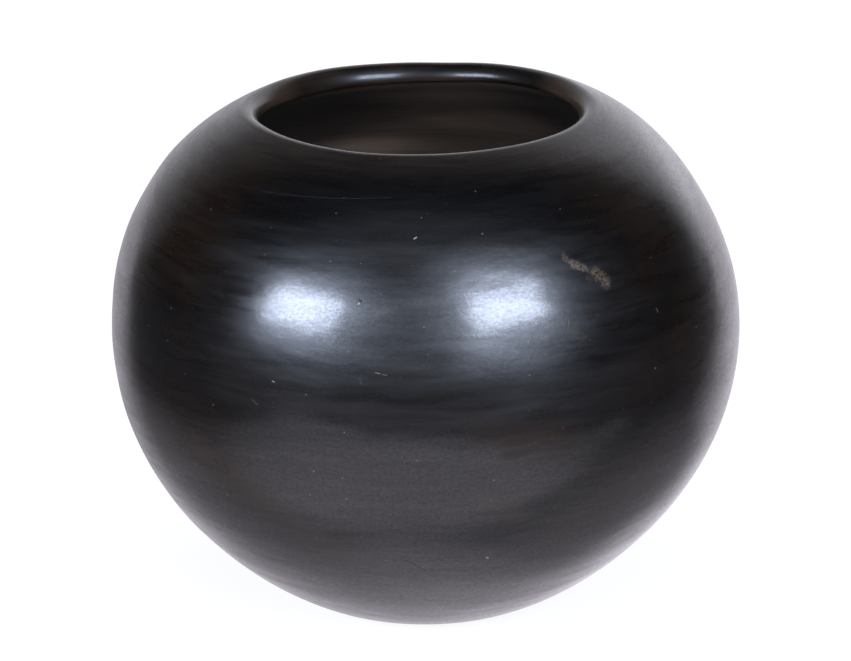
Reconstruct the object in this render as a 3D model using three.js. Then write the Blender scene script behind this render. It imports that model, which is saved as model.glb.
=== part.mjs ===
// A hand-built clay bowl with a wide belly, a narrow round mouth and a rolled lip.
// It is made as a potter makes it: a dished base, ropes of clay laid on it ring over ring with
// slanting lap joints, and a last rope that is rounded into the lip.
// Lengths are millimetres, +Z is up, and the origin is the centre of the face the bowl rests on.
import * as THREE from "three";

// Foot: the flat that the bowl rests on, and how the wall leaves it
const FOOT_RADIUS = 35;
const FOOT_RISE = THREE.MathUtils.degToRad(26);
const FOOT_FULLNESS = 0.417;

// Belly: the widest ring of the outside
const BELLY_RADIUS = 82.5;
const BELLY_HEIGHT = 71.6;
const BELLY_FULLNESS = 0.521;

// Lip: where the shoulder turns into the rounded edge of the mouth
const LIP_RADIUS = 45.3;
const LIP_HEIGHT = 131.1;
const LIP_FALL = THREE.MathUtils.degToRad(20);
const LIP_FULLNESS = 0.506;

// Clay: how thick it is, and how it is shared out between base, ropes and rim along the wall
const WALL_THICKNESS = 5.2;
const FLOOR_THICKNESS = 7.5;
const BASE_WALL = 25;
const RIM_WALL = 12;
const COIL_COUNT = 8;
const COIL_LAP = 5;

// Fineness of the facets
const ROUND_STEPS = 60;
const COIL_STEPS = 3;
const BASE_STEPS = 4;
const FLOOR_STEPS = 6;
const LIP_STEPS = 6;

const wall = outerWall();
const wallLength = wall.getLength();
const coilHeight = (wallLength - BASE_WALL - RIM_WALL) / COIL_COUNT;

// The outside of the bowl from foot to lip, as radius and height. A fullness is the share of the way
// to the next ring over which the curve keeps the direction it has at this one.
function outerWall() {
  const foot = new THREE.Vector2(FOOT_RADIUS, 0);
  const belly = new THREE.Vector2(BELLY_RADIUS, BELLY_HEIGHT);
  const lip = new THREE.Vector2(LIP_RADIUS, LIP_HEIGHT);
  const footRun = FOOT_FULLNESS * (BELLY_RADIUS - FOOT_RADIUS);
  const lipRun = LIP_FULLNESS * (BELLY_RADIUS - LIP_RADIUS);
  const offFoot = new THREE.Vector2(FOOT_RADIUS + footRun, footRun * Math.tan(FOOT_RISE));
  const offLip = new THREE.Vector2(LIP_RADIUS + lipRun, LIP_HEIGHT - lipRun * Math.tan(LIP_FALL));
  const underBelly = new THREE.Vector2(BELLY_RADIUS, BELLY_HEIGHT * (1 - BELLY_FULLNESS));
  const shoulderRise = LIP_HEIGHT - BELLY_HEIGHT;
  const overBelly = new THREE.Vector2(BELLY_RADIUS, BELLY_HEIGHT + BELLY_FULLNESS * shoulderRise);
  const curve = new THREE.CurvePath();
  curve.add(new THREE.CubicBezierCurve(foot, offFoot, underBelly, belly));
  curve.add(new THREE.CubicBezierCurve(belly, overBelly, offLip, lip));
  return curve;
}

// Distance from the foot, along the outside, of the joint on top of a coil. Joint 0 is on top of the base.
function joint(number) {
  return BASE_WALL + number * coilHeight;
}

// Direction that points from the outside straight into the clay, at a distance along the wall
function inward(distance) {
  const along = wall.getTangent(distance / wallLength);
  return new THREE.Vector2(-along.y, along.x);
}

// Point on the outside of the wall at a distance from the foot
function outside(distance) {
  return wall.getPoint(distance / wallLength);
}

// Point on the inside of the wall, straight through the clay
function inside(distance) {
  return outside(distance).addScaledVector(inward(distance), WALL_THICKNESS);
}

// Points along one side of the wall, both ends included
function stretch(side, from, to, steps) {
  const points = [];
  for (let step = 0; step <= steps; step += 1) {
    points.push(side(THREE.MathUtils.lerp(from, to, step / steps)));
  }
  return points;
}

// Half circle that joins the outside of the wall to its inside at the mouth, without its two ends
function lipRound() {
  const radius = WALL_THICKNESS / 2;
  const centre = outside(wallLength).addScaledVector(inward(wallLength), radius);
  const start = inward(wallLength).negate().angle();
  const points = [];
  for (let step = 1; step < LIP_STEPS; step += 1) {
    const angle = start + (Math.PI * step) / LIP_STEPS;
    points.push(new THREE.Vector2(Math.cos(angle), Math.sin(angle)).multiplyScalar(radius).add(centre));
  }
  return points;
}

// Inside of the base, from its upper edge down to the middle of the floor
function floorCurve() {
  const edge = inside(joint(0) - COIL_LAP);
  const slope = wall.getTangent((joint(0) - COIL_LAP) / wallLength);
  const run = ((edge.y - FLOOR_THICKNESS) * slope.x) / slope.y;
  const bend = new THREE.Vector2(edge.x - run, FLOOR_THICKNESS);
  const middle = new THREE.Vector2(0, FLOOR_THICKNESS);
  return new THREE.QuadraticBezierCurve(edge, bend, middle).getPoints(FLOOR_STEPS);
}

function smokedClay() {
  return new THREE.MeshStandardMaterial({ color: 0x1b1b1e, roughness: 0.35, metalness: 0 });
}

// Turns a profile of radius and height once around the upright axis
function turned(name, profile) {
  const geometry = new THREE.LatheGeometry(profile, ROUND_STEPS);
  geometry.rotateX(Math.PI / 2);
  const mesh = new THREE.Mesh(geometry, smokedClay());
  mesh.name = name;
  return mesh;
}

function baseDish() {
  const underside = new THREE.Vector2(0, 0);
  return turned("base_dish", [underside, ...stretch(outside, 0, joint(0), BASE_STEPS), ...floorCurve()]);
}

// One rope of clay, pinched to the wall's thickness. Its lower edge laps over the inside of the
// piece below, and its upper edge slants the same way for the piece above.
function wallCoil(number) {
  const low = joint(number - 1);
  const high = joint(number);
  const outer = stretch(outside, low, high, COIL_STEPS);
  const inner = stretch(inside, high - COIL_LAP, low - COIL_LAP, COIL_STEPS);
  return turned(`wall_coil_${number}`, [...outer, ...inner, outer[0]]);
}

function rimCoil() {
  const low = joint(COIL_COUNT);
  const outer = stretch(outside, low, wallLength, COIL_STEPS);
  const inner = stretch(inside, wallLength, low - COIL_LAP, COIL_STEPS);
  return turned("rim_coil", [...outer, ...lipRound(), ...inner, outer[0]]);
}

const bowl = new THREE.Group();
bowl.name = "blackware_bowl";
bowl.add(baseDish());
for (let number = 1; number <= COIL_COUNT; number += 1) {
  bowl.add(wallCoil(number));
}
bowl.add(rimCoil());

export default bowl;
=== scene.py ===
"""Looks of a hand-built blackware bowl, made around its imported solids.

The bowl's skin is one smooth surface: from the middle of the resting face out to the foot, up the
outside, over the lip, down the inside and in to the middle of the floor. Each clay piece is a
closed ring cut from that skin at the potter's lap joints, so the pieces meet without a seam.
"""

import logging
import math
from dataclasses import dataclass
from enum import Enum

import bpy
import numpy as np
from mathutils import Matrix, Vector


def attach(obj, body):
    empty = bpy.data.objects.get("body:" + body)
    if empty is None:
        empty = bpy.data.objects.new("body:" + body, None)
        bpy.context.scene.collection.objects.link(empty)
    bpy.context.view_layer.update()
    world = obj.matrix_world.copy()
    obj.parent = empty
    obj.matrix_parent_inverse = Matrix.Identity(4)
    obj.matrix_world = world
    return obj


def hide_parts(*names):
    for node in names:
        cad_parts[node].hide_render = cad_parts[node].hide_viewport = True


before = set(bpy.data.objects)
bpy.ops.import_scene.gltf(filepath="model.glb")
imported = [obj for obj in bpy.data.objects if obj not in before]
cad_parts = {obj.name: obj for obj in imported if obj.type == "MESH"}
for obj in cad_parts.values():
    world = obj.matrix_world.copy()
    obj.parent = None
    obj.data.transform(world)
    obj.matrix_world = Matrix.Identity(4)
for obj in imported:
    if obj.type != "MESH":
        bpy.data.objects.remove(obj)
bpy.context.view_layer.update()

LOG = logging.getLogger("blackware_bowl")
MM = 0.001
FULL_TURN = 360
ROOT_BODY = "root"
STROKE = "stroke"
BAKE_MAP = "OFBake"
PHOTO_WIDTH = 851

Socket = bpy.types.NodeSocket
Triple = tuple[float, float, float]
Colour = tuple[float, float, float, float]

TO_FRONT: Triple = (0.0, -1.0, 0.0)
TO_BACK: Triple = (0.0, 1.0, 0.0)
TO_RIGHT: Triple = (1.0, 0.0, 0.0)
LEVEL: Triple = (1.0, 1.0, 0.0)
HALF: Triple = (0.5, 0.5, 0.5)
ZERO: Triple = (0.0, 0.0, 0.0)


class Cut(Enum):
    """Which surface of a clay piece a face belongs to."""

    OUTSIDE = 0
    LIP = 1
    INSIDE = 2
    JOINT = 3


class Side(Enum):
    """The side of the bowl that angles are measured from, by its direction along Y."""

    FRONT = -1.0
    BACK = 1.0


@dataclass(frozen=True)
class ClaySizes:
    """Sizes of the bowl's clay in millimetres, the same as those of the solids.

    A fullness is the share of the way to the next ring over which the outline keeps its direction.
    """

    foot_radius: float = 35.0
    foot_rise: float = math.radians(26.0)
    foot_fullness: float = 0.417
    foot_rounding: float = 3.0
    belly_radius: float = 82.5
    belly_height: float = 71.6
    belly_fullness: float = 0.521
    lip_radius: float = 45.3
    lip_height: float = 131.1
    lip_fall: float = math.radians(20.0)
    lip_fullness: float = 0.506
    wall: float = 5.2
    floor: float = 7.5
    base_wall: float = 25.0
    rim_wall: float = 12.0
    coil_count: int = 8
    coil_lap: float = 5.0


@dataclass(frozen=True)
class LipRoll:
    """How the lip is rounded: tight on top, broad on the face towards the mouth, tight below.

    Lengths are millimetres. The radius below follows from the thickness of the wall. Inside, the
    wall swells below the lip, where the last ropes are pressed together, and thins out further
    down. The lip sags most at one angle.
    """

    top_radius: float = 3.3
    face_radius: float = 4.0
    top_turn: float = math.radians(60.0)
    face_turn: float = math.radians(104.0)
    blend: float = math.radians(10.0)
    reach: float = 2.6
    shoulder: float = 2.8
    shoulder_below: float = 16.0
    shoulder_end: float = 52.0
    sag: float = 1.0
    sag_start: float = 2.0
    sag_below: float = 15.0
    sag_angle: float = math.radians(-140.0)
    sag_spread: float = math.radians(34.0)


@dataclass(frozen=True)
class HandWork:
    """How far the hands left the wall from a true round, in millimetres.

    The lean is the sideways drift of each ring's centre, given at shares of the way up the wall.
    The lift is the rise of the lip, given at degrees around the mouth. The swells are waves around
    and up the wall: the higher a wave's pace, the lower it is.
    """

    lean_shares: tuple[float, ...] = (0.0, 0.25, 0.4, 0.5, 0.58, 0.72, 0.8, 0.95, 1.0)
    lean_across: tuple[float, ...] = (0.0, -0.2, 0.0, 0.4, 0.3, -0.4, -0.5, -0.45, -1.5)
    lean_easing: float = 10.0
    swell: float = 0.42
    swell_peak: float = 3.0
    swell_waves: int = 70
    swell_seed: int = 11
    around_most: int = 14
    around_pace: float = 3.1
    upward_most: float = 6.0
    least_pace: float = 0.8
    pace_fall: float = 1.7
    coil_ripple: float = 0.04
    ripple_least: float = 0.6
    ripple_swing: float = 0.4
    ripple_lobes: float = 3.0
    ripple_turn: float = 1.0
    calm_rim: float = 0.8
    calm_reach: float = 40.0
    calm_radius: float = 10.0
    lift_angles: tuple[float, ...] = (
        *(-120, -90, -65, -40, -20, 0, 30, 60, 90),
        *(118, 135, 148, 160, 172, 190, 210, 225),
    )
    lift_heights: tuple[float, ...] = (
        *(-0.6, -0.15, 0.3, 0.0, -0.2, 0.0, 0.3, 0.5, 0.7),
        *(0.95, 0.85, 0.6, 0.15, -0.5, -0.55, -0.35, -0.5),
    )
    lift_easing: int = 10
    lift_reach: float = 45.0
    grip: float = 40.0


def bezier(points: list[tuple[float, float]], count: int) -> np.ndarray:
    """Points along a curve with three or four control points.

    Args:
        points: The control points, as radius and height.
        count: How many points to return, both ends included.

    Returns:
        An array of count rows of radius and height.
    """
    share = np.linspace(0.0, 1.0, count)[:, None]
    order = len(points) - 1
    total = np.zeros((count, 2))
    for index, point in enumerate(points):
        weight = math.comb(order, index) * share**index * (1.0 - share) ** (order - index)
        total = total + weight * np.array(point)
    return total


def smooth_step(value: np.ndarray, low: float, high: float) -> np.ndarray:
    """Rises smoothly from 0 at low to 1 at high."""
    share = np.clip((value - low) / (high - low), 0.0, 1.0)
    return share * share * (3.0 - 2.0 * share)


def travelled(points: np.ndarray) -> np.ndarray:
    """Distance along a curve from its first point to each of its points."""
    steps = np.hypot(*np.diff(points, axis=0).T)
    return np.concatenate([[0.0], np.cumsum(steps)])


def look_up(at: np.ndarray, known: np.ndarray, table: np.ndarray) -> np.ndarray:
    """Rows of a table at places between the known ones."""
    return np.column_stack([np.interp(at, known, column) for column in table.T])


def eased(values: np.ndarray, reach: int) -> np.ndarray:
    """Values averaged softly with their neighbours, without the reach at either end."""
    window = np.hanning(2 * reach + 1)
    return np.convolve(values, window / window.sum(), "valid")


class Skin:
    """The bowl's whole surface, by distance along it from the foot and by angle around it."""

    TABLE_STEP = 0.1
    SLOPE_STEP = 0.25
    TURN_STEP = 0.004
    WALL_POINTS = 900
    LIP_POINTS = 361
    FLOOR_POINTS = 300
    UNDER_POINTS = 200
    TINY = 1e-12

    def __init__(self, clay: ClaySizes, lip: LipRoll, hand: HandWork) -> None:
        """Lays out the true-round skin and draws the hand's swells.

        Args:
            clay: The sizes of the clay.
            lip: How the lip is rounded.
            hand: How far the hand left the wall from a true round.
        """
        self.clay = clay
        self.lip = lip
        self.hand = hand
        self._lay_outside()
        self._lay_skin()
        self._round_foot()
        self._draw_swells()

    def _lay_outside(self) -> None:
        """Tabulates the outside from foot to lip, with its outward direction."""
        clay = self.clay
        foot_run = clay.foot_fullness * (clay.belly_radius - clay.foot_radius)
        lip_run = clay.lip_fullness * (clay.belly_radius - clay.lip_radius)
        shoulder_rise = clay.lip_height - clay.belly_height
        foot = (clay.foot_radius, 0.0)
        off_foot = (clay.foot_radius + foot_run, foot_run * math.tan(clay.foot_rise))
        under_belly = (clay.belly_radius, clay.belly_height * (1.0 - clay.belly_fullness))
        belly = (clay.belly_radius, clay.belly_height)
        over_belly = (clay.belly_radius, clay.belly_height + clay.belly_fullness * shoulder_rise)
        off_lip = (clay.lip_radius + lip_run, clay.lip_height - lip_run * math.tan(clay.lip_fall))
        lip = (clay.lip_radius, clay.lip_height)
        lower = bezier([foot, off_foot, under_belly, belly], self.WALL_POINTS)
        upper = bezier([belly, over_belly, off_lip, lip], self.WALL_POINTS)
        curve = np.vstack([lower, upper[1:]])
        travel = travelled(curve)
        self.length = float(travel[-1])
        self.coil = (self.length - clay.base_wall - clay.rim_wall) / clay.coil_count
        self.stations = np.linspace(0.0, self.length, int(self.length / self.TABLE_STEP))
        self.outer = look_up(self.stations, travel, curve)
        along = np.gradient(self.outer, axis=0)
        along /= np.linalg.norm(along, axis=1)[:, None]
        self.outward = np.column_stack([along[:, 1], -along[:, 0]])

    def _roll_lip(self) -> tuple[np.ndarray, float]:
        """Rounds the lip over, from the outside of the wall to its inside.

        Returns:
            The lip's points as radius and height, and how far before the wall's end they begin.
        """
        lip = self.lip
        turn = np.linspace(0.0, math.pi, self.LIP_POINTS)
        over_face = smooth_step(turn, lip.top_turn - lip.blend, lip.top_turn + lip.blend)
        under = smooth_step(turn, lip.face_turn - lip.blend, lip.face_turn + lip.blend)
        upper = (lip.top_radius + (lip.face_radius - lip.top_radius) * over_face) * (1.0 - under)
        step = turn[1] - turn[0]
        depth_left = self.clay.wall - (upper * np.sin(turn)).sum() * step
        under_radius = depth_left / ((under * np.sin(turn)).sum() * step)
        radius = upper + under_radius * under
        forward = np.cumsum(radius * np.cos(turn)) * step
        depth = np.cumsum(radius * np.sin(turn)) * step
        lead = float(forward.max()) - lip.reach
        outward = self.outward[-1]
        along = np.array([-outward[1], outward[0]])
        points = self.outer[-1] + (forward - lead)[:, None] * along - depth[:, None] * outward
        return points, lead

    def _shoulder(self, below: np.ndarray) -> np.ndarray:
        """Swells the wall inside, under the lip.

        Args:
            below: Distances below the lip.

        Returns:
            The extra thickness at each distance.
        """
        lip = self.lip
        rise = np.sin(np.clip(below / lip.shoulder_below, 0.0, 1.0) * math.pi / 2.0)
        fall = 1.0 - smooth_step(below, lip.shoulder_below, lip.shoulder_end)
        return lip.shoulder * rise * fall

    def _lay_skin(self) -> None:
        """Joins underside, outside, lip, inside and floor into one table of distance and place."""
        clay = self.clay
        lip, lead = self._roll_lip()
        before = self.stations < self.length - max(lead, self.TABLE_STEP)
        edge_station = clay.base_wall - clay.coil_lap
        kept = self.stations >= edge_station
        thickness = clay.wall + self._shoulder(self.length - self.stations)
        inside = (self.outer - thickness[:, None] * self.outward)[kept][::-1]
        inside_stations = self.stations[kept][::-1]
        slope = inside[-1] - inside[-2]
        run = (inside[-1, 1] - clay.floor) * slope[0] / slope[1]
        bend = (float(inside[-1, 0] - run), clay.floor)
        floor = bezier([tuple(inside[-1]), bend, (0.0, clay.floor)], self.FLOOR_POINTS)[1:]
        under = np.linspace(0.0, clay.foot_radius, self.UNDER_POINTS)[:-1]
        resting = np.column_stack([under, np.zeros_like(under)])
        runs = [resting, self.outer[before], lip, inside, floor]
        self.place = np.vstack(runs)
        self.distance = travelled(self.place) - clay.foot_radius
        self.station = np.concatenate(
            [
                np.zeros_like(under),
                self.stations[before],
                np.full(len(lip), self.length),
                inside_stations,
                edge_station * floor[:, 0] / inside[-1, 0],
            ]
        )
        ends = np.cumsum([len(run) for run in runs])
        self.lip_start = float(self.distance[ends[1]])
        self.lip_end = float(self.distance[ends[2] - 1])
        self.floor_start = float(self.distance[ends[3] - 1])
        self.end = float(self.distance[-1])
        self.inside_stations = inside_stations[::-1]
        self.inside_distances = self.distance[ends[2] : ends[3]][::-1]

    def _round_foot(self) -> None:
        """Softens the edge where the wall leaves the resting face."""
        reach = self.clay.foot_rounding
        near = np.abs(self.distance) < reach
        start, end = (self._true(np.array([side * reach]))[0] for side in (-1.0, 1.0))
        share = ((self.distance[near] + reach) / (2.0 * reach))[:, None]
        left = 1.0 - share
        corner = np.array([self.clay.foot_radius, 0.0])
        self.place[near] = left**2 * start + 2.0 * share * left * corner + share**2 * end

    def _true(self, distance: np.ndarray) -> np.ndarray:
        """Radius and height of the true-round skin at each distance."""
        return look_up(distance, self.distance, self.place)

    def _draw_swells(self) -> None:
        """Draws the hand's waves in the wall, long ones high and short ones low, and its lean."""
        hand = self.hand
        dice = np.random.default_rng(hand.swell_seed)
        self.wave_around = dice.integers(0, hand.around_most + 1, hand.swell_waves)
        self.wave_upward = dice.uniform(-hand.upward_most, hand.upward_most, hand.swell_waves)
        self.wave_phase = dice.uniform(0.0, 2.0 * math.pi, hand.swell_waves)
        pace = np.hypot(self.wave_around / hand.around_pace, self.wave_upward) + hand.least_pace
        height = pace**-hand.pace_fall
        spread = np.sqrt((height**2).sum() / 2.0)
        self.wave_height = hand.swell * height / spread / hand.swell_peak
        lean = np.interp(self.stations / self.length, hand.lean_shares, hand.lean_across)
        reach = int(hand.lean_easing / self.TABLE_STEP)
        before = np.full(reach, lean[0])
        beyond = 2.0 * lean[-1] - lean[-2 : -reach - 2 : -1]
        self.lean = eased(np.concatenate([before, lean, beyond]), reach)

    def _swell(self, station: np.ndarray, angle: np.ndarray) -> np.ndarray:
        """Swells the wall as the hand's pressure and the ropes of clay left it.

        Args:
            station: Distances along the outside of the wall.
            angle: Angles around the axis.

        Returns:
            Outward millimetres, one row for each station and one column for each angle.
        """
        hand = self.hand
        share = station / self.length
        total = np.zeros((len(station), len(angle)))
        waves = (self.wave_around, self.wave_upward, self.wave_phase, self.wave_height)
        for around, upward, phase, height in zip(*waves, strict=True):
            climb = 2.0 * math.pi * upward * share[:, None]
            total += height * np.sin(around * angle[None, :] + climb + phase)
        ripple = np.cos(2.0 * math.pi * (station - self.clay.base_wall) / self.coil)[:, None]
        lobes = np.sin(hand.ripple_lobes * angle + hand.ripple_turn)
        uneven = hand.ripple_least + hand.ripple_swing * lobes
        total += hand.coil_ripple * ripple * uneven[None, :]
        firm = smooth_step(station, 0.0, hand.grip)
        near_rim = smooth_step(station, self.length - hand.calm_reach, self.length)
        return total * (firm * (1.0 - hand.calm_rim * near_rim))[:, None]

    def _rim_lift(self, angle: np.ndarray) -> np.ndarray:
        """Lets the lip rise and fall around the mouth.

        Args:
            angle: Angles around the axis.

        Returns:
            The rise at each angle.
        """
        hand = self.hand
        degrees = np.arange(-hand.lift_easing, FULL_TURN + 1 + hand.lift_easing)
        lift = np.interp(degrees, hand.lift_angles, hand.lift_heights, period=FULL_TURN)
        lift = eased(lift, hand.lift_easing)
        return np.interp(np.degrees(angle) % FULL_TURN, np.arange(FULL_TURN + 1), lift)

    def _lip_sag(self, distance: np.ndarray) -> np.ndarray:
        """Lets the underside of the lip hang.

        Args:
            distance: Distances along the skin.

        Returns:
            How far it hangs at each distance, where it hangs most.
        """
        end = self.lip_end
        down = smooth_step(distance, self.lip_start + self.lip.sag_start, end)
        return self.lip.sag * down * (1.0 - smooth_step(distance, end, end + self.lip.sag_below))

    def _sag_share(self, angle: np.ndarray) -> np.ndarray:
        """Where around the mouth the lip hangs."""
        away = (angle - self.lip.sag_angle + math.pi) % (2.0 * math.pi) - math.pi
        return np.exp(-((away / self.lip.sag_spread) ** 2))

    def points(self, distance: np.ndarray, angle: np.ndarray) -> np.ndarray:
        """Places on the skin as the hand left it.

        Args:
            distance: Distances along the skin from the foot, in millimetres.
            angle: Angles around the axis; 0 faces -Y and a quarter turn faces +X.

        Returns:
            Millimetre places, one row for each distance and one column for each angle.
        """
        hand = self.hand
        radius, height = self._true(distance).T[:, :, None]
        station = np.interp(distance, self.distance, self.station)
        outward, upward = look_up(station, self.stations, self.outward).T[:, :, None]
        swell = self._swell(station, angle)
        near_rim = smooth_step(station, self.length - hand.lift_reach, self.length)[:, None]
        radius = radius + outward * swell * np.minimum(1.0, radius / hand.calm_radius)
        height = height + upward * swell + near_rim * self._rim_lift(angle)[None, :]
        height = height - self._lip_sag(distance)[:, None] * self._sag_share(angle)[None, :]
        lean = np.interp(station, self.stations, self.lean)[:, None]
        return np.stack([radius * np.sin(angle) + lean, -radius * np.cos(angle), height], axis=-1)

    def normals(self, distance: np.ndarray, angle: np.ndarray) -> np.ndarray:
        """Outward directions of the skin.

        Args:
            distance: Distances along the skin from the foot, in millimetres.
            angle: Angles around the axis.

        Returns:
            Unit vectors, on the same grid as points.
        """
        step, turn = self.SLOPE_STEP, self.TURN_STEP
        along = self.points(distance + step, angle) - self.points(distance - step, angle)
        around = self.points(distance, angle + turn) - self.points(distance, angle - turn)
        facing = np.cross(around, along)
        size = np.linalg.norm(facing, axis=-1, keepdims=True)
        return facing / np.maximum(size, self.TINY)

    def inside_of(self, station: float) -> float:
        """Distance along the skin of the inside point that lies behind an outside station."""
        return float(np.interp(station, self.inside_stations, self.inside_distances))


@dataclass(frozen=True)
class Fade:
    """A number that goes smoothly from start to end while another goes from low to high."""

    low: float
    high: float
    start: float = 0.0
    end: float = 1.0


@dataclass(frozen=True)
class Spots:
    """Soft random spots: how many to a millimetre along each axis, and how finer layers add up."""

    scale: Triple
    detail: float = 2.0
    rough: float = 0.5


class Graph:
    """A node tree, written from its inputs to its output."""

    NUMBER_SUMS = ("DOT_PRODUCT", "DISTANCE", "LENGTH")

    def __init__(self, holder: bpy.types.Material | bpy.types.World) -> None:
        """Empties the node tree of a material or a world.

        Args:
            holder: What the tree belongs to.
        """
        holder.use_nodes = True
        self.holder = holder
        self.tree = holder.node_tree
        self.tree.nodes.clear()

    def node(self, kind: str, sockets: dict | None = None, **settings: object) -> bpy.types.Node:
        """Adds a node.

        Args:
            kind: Blender's name of the node type.
            sockets: Values or sockets for the node's inputs, by name or number.
            **settings: The node's own settings.

        Returns:
            The new node.
        """
        made = self.tree.nodes.new(kind)
        for name, value in settings.items():
            setattr(made, name, value)
        for name, value in (sockets or {}).items():
            if isinstance(value, bpy.types.NodeSocket):
                self.tree.links.new(value, made.inputs[name])
            else:
                made.inputs[name].default_value = value
        return made

    def maths(self, operation: str, first: object, *others: object) -> Socket:
        """Works one sum through several numbers, from the first to the last.

        Args:
            operation: Blender's name of the sum.
            first: The number to start from.
            *others: The numbers that follow; none for a sum on a single number.

        Returns:
            The result.
        """
        for other in others or (0.0,):
            sockets = {0: first, 1: other}
            first = self.node("ShaderNodeMath", sockets, operation=operation).outputs[0]
        return first

    def vector(self, operation: str, first: object, *others: object) -> Socket:
        """Works one sum through several vectors, from the first to the last.

        Args:
            operation: Blender's name of the sum.
            first: The vector to start from.
            *others: The vectors that follow; none for a sum on a single vector.

        Returns:
            The result: a number for a dot product, a distance or a length.
        """
        output = "Value" if operation in self.NUMBER_SUMS else "Vector"
        for other in others or (ZERO,):
            sockets = {0: first, 1: other}
            first = self.node("ShaderNodeVectorMath", sockets, operation=operation).outputs[output]
        return first

    def scaled(self, vector: object, share: Socket) -> Socket:
        """A vector times a number."""
        made = self.node("ShaderNodeVectorMath", {0: vector, "Scale": share}, operation="SCALE")
        return made.outputs[0]

    def split(self, place: Socket) -> tuple[Socket, Socket, Socket]:
        """The three coordinates of a place."""
        return tuple(self.node("ShaderNodeSeparateXYZ", {0: place}).outputs)

    def fade(self, value: object, fade: Fade, pace: str = "SMOOTHSTEP") -> Socket:
        """Takes a number from the start of a fade to its end.

        Args:
            value: The number that the fade follows.
            fade: The fade.
            pace: Blender's name of the way between start and end.

        Returns:
            The number at this place of the fade.
        """
        sockets = {
            "Value": value,
            "From Min": fade.low,
            "From Max": fade.high,
            "To Min": fade.start,
            "To Max": fade.end,
        }
        return self.node("ShaderNodeMapRange", sockets, interpolation_type=pace).outputs[0]

    def spots(self, where: Socket, spots: Spots, output: int | str = 0) -> Socket:
        """Looks up soft random spots.

        Args:
            where: The place to look up.
            spots: The sizes of the spots.
            output: 0 for one number about 0.5, or "Color" for three.

        Returns:
            The spots at that place.
        """
        sockets = {
            "Vector": self.vector("MULTIPLY", where, spots.scale),
            "Scale": 1.0,
            "Detail": spots.detail,
            "Roughness": spots.rough,
        }
        return self.node("ShaderNodeTexNoise", sockets).outputs[output]

    def swing(self, pattern: Socket, amount: float) -> Socket:
        """How far a pattern swings to either side of its middle."""
        return self.maths("MULTIPLY", self.maths("SUBTRACT", pattern, 0.5), amount)

    def segment(self, place: Socket, start: Triple, end: Triple) -> Socket:
        """Distance to a straight line between two points.

        Args:
            place: Where to measure from.
            start: One end of the line.
            end: Its other end.

        Returns:
            The distance to the nearest point of the line.
        """
        run = Vector(end) - Vector(start)
        apart = self.vector("SUBTRACT", place, start)
        along = self.vector("DOT_PRODUCT", apart, tuple(run))
        share = self.maths("DIVIDE", along, run.length_squared)
        share.node.use_clamp = True
        return self.vector("DISTANCE", apart, self.scaled(tuple(run), share))

    def oval(self, place: Socket, centre: Triple, halves: Triple, fade: Fade) -> Socket:
        """How much there is of a soft oval, which fades from its middle, 0, to its edge, 1."""
        apart = self.vector("DIVIDE", self.vector("SUBTRACT", place, centre), halves)
        return self.fade(self.vector("LENGTH", apart), fade)

    def blend(self, share: object, first: object, second: object) -> Socket:
        """Mixes two colours."""
        sockets = {0: share, 6: first, 7: second}
        return self.node("ShaderNodeMix", sockets, data_type="RGBA").outputs[2]


class SkinGraph(Graph):
    """The node tree of a finish on the bowl's skin.

    A place on the skin is how far it lies across and behind the axis, and how far along the skin
    it is from the foot, all in millimetres.
    """

    def __init__(self, name: str) -> None:
        """Starts a material.

        Args:
            name: The name of the finish.
        """
        super().__init__(bpy.data.materials.new(name))
        self.where = self.node("ShaderNodeAttribute", attribute_name=STROKE).outputs["Vector"]
        self.across, self.behind, self.along = self.split(self.where)

    def unroll(self, radius: float, side: Side) -> Socket:
        """Lays the skin out flat: millimetres around and millimetres along.

        Args:
            radius: The radius at which a millimetre around is a true one.
            side: The side to measure from.

        Returns:
            The place on the flat skin.
        """
        ahead = self.maths("MULTIPLY", self.behind, side.value)
        around = self.maths("MULTIPLY", self.maths("ARCTAN2", self.across, ahead), radius)
        return self.node("ShaderNodeCombineXYZ", {0: around, 1: self.along}).outputs[0]

    def facing(self, direction: Triple) -> Socket:
        """How far a place lies towards a level direction, from -1 to 1."""
        flat = self.vector("NORMALIZE", self.vector("MULTIPLY", self.where, LEVEL))
        return self.vector("DOT_PRODUCT", flat, direction)

    def relief(self, *layers: tuple[Socket, float]) -> Socket:
        """Adds patterns up to a relief.

        Args:
            *layers: Each pattern with its height in millimetres.

        Returns:
            The direction that the surface faces.
        """
        height = self.maths("ADD", *(self.maths("MULTIPLY", *layer) for layer in layers))
        sockets = {"Height": height, "Distance": MM, "Strength": 1.0}
        return self.node("ShaderNodeBump", sockets).outputs[0]

    def dress(self, sockets: dict[str, object]) -> bpy.types.Material:
        """Closes the tree with its shader.

        Args:
            sockets: Values or sockets for the shader's inputs, by name.

        Returns:
            The finished material.
        """
        shader = self.node("ShaderNodeBsdfPrincipled", sockets)
        self.node("ShaderNodeOutputMaterial", {0: shader.outputs[0]})
        return self.holder


def rgba(red: float, green: float, blue: float) -> Colour:
    """An opaque colour."""
    return (red, green, blue, 1.0)


@dataclass(frozen=True)
class Mark:
    """A mark in the slip between two places, each degrees around and millimetres along the skin."""

    start: tuple[float, float]
    end: tuple[float, float]
    half_width: float
    strength: float = 1.0


@dataclass(frozen=True)
class Stroke:
    """The flats that one tool leaves: their length and breadth in millimetres, and their lean."""

    length: float
    breadth: float
    lean: float


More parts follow.
